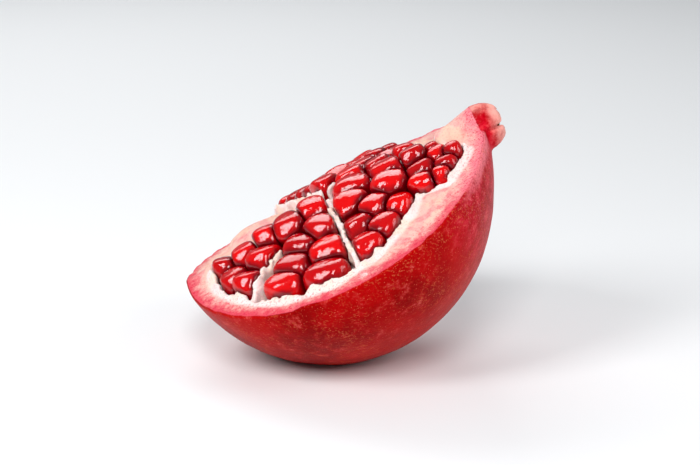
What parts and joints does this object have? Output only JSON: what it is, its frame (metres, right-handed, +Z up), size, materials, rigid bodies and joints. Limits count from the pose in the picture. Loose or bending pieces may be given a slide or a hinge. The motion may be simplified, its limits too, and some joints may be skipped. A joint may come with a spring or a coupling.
{
  "type": "pomegranate segment",
  "caption": "Ripe pomegranate broken open along its length, lying on its skin with the crown end raised and the glossy red arils showing.",
  "frame": {"origin": "centre of the rest spot, straight below the centre of the whole fruit", "axes": "+Z up from the surface it lies on, +X towards the crown, +Y to the far face, the one with the covered chamber"},
  "size_m": [0.0891, 0.0911, 0.0701],
  "materials": {
    "rind": "satin fruit skin, deep red with fine golden specks; pale matt pith where broken",
    "aril": "wet gloss, translucent ruby red"
  },
  "bodies": {
    "root": {"rind": "rind", "aril_01": "aril", "aril_02": "aril", "aril_03": "aril", "aril_04": "aril", "aril_05": "aril", "aril_06": "aril", "aril_07": "aril", "aril_08": "aril", "aril_09": "aril", "aril_10": "aril", "aril_11": "aril", "aril_12": "aril", "aril_13": "aril", "aril_14": "aril", "aril_15": "aril", "aril_16": "aril", "aril_17": "aril", "aril_18": "aril", "aril_19": "aril", "aril_20": "aril", "aril_21": "aril", "aril_22": "aril", "aril_23": "aril", "aril_24": "aril", "aril_25": "aril", "aril_26": "aril", "aril_27": "aril", "aril_28": "aril", "aril_29": "aril", "aril_30": "aril", "aril_31": "aril", "aril_32": "aril", "aril_33": "aril", "aril_34": "aril", "aril_35": "aril", "aril_36": "aril", "aril_37": "aril", "aril_38": "aril", "aril_39": "aril", "aril_40": "aril", "aril_41": "aril", "aril_42": "aril", "aril_43": "aril", "aril_44": "aril", "aril_45": "aril", "aril_46": "aril", "aril_47": "aril", "aril_48": "aril", "aril_49": "aril", "aril_50": "aril", "aril_51": "aril"}
  },
  "joints": []
}
